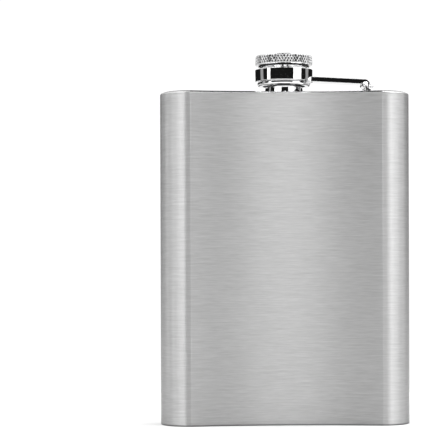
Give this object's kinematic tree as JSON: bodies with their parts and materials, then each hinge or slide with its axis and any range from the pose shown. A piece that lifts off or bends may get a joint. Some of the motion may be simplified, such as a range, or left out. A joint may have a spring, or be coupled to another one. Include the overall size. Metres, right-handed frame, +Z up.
{
  "type": "hip flask",
  "caption": "Curved stainless hip flask with a brushed shell, a threaded neck and a captive knurled screw cap on a hinged arm.",
  "frame": {"origin": "middle of the flask's outline, on the surface that it stands on", "axes": "+Z up from the base to the cap, +Y through the thickness towards the bulging outer face, +X across the width towards the arm's hinge; the hollow face that lies against the hip looks along -Y"},
  "size_m": [0.095, 0.025, 0.1408],
  "materials": {
    "brushed_body": "horizontally brushed stainless steel, satin",
    "polished_plates": "fine satin stainless steel with a polished rim",
    "polished_fittings": "mirror polished stainless steel",
    "knurled_cap": "polished stainless steel with a diamond knurl round the side",
    "gasket": "translucent white food-grade silicone"
  },
  "bodies": {
    "flask": {"body_shell": "brushed_body", "shoulder_plate": "polished_plates", "base_plate": "polished_plates", "neck": "polished_fittings", "hinge_bracket": "polished_fittings", "hinge_pin": "polished_fittings"},
    "arm": {"cap_arm": "polished_fittings", "swivel_collar": "polished_fittings"},
    "cap": {"cap_head": "knurled_cap", "cap_insert": "polished_fittings", "cap_gasket": "gasket"}
  },
  "joints": [
    {"name": "arm_swing", "type": "hinge", "parent": "flask", "child": "arm", "pos_m": [0.031, 0.0015, 0.1296], "axis": [0, 1, 0], "range_deg": [0, 180]},
    {"name": "cap_turn", "type": "hinge", "parent": "arm", "child": "cap", "pos_m": [0, 0.0015, 0.1362], "axis": [0, 0, 1], "continuous": true}
  ]
}
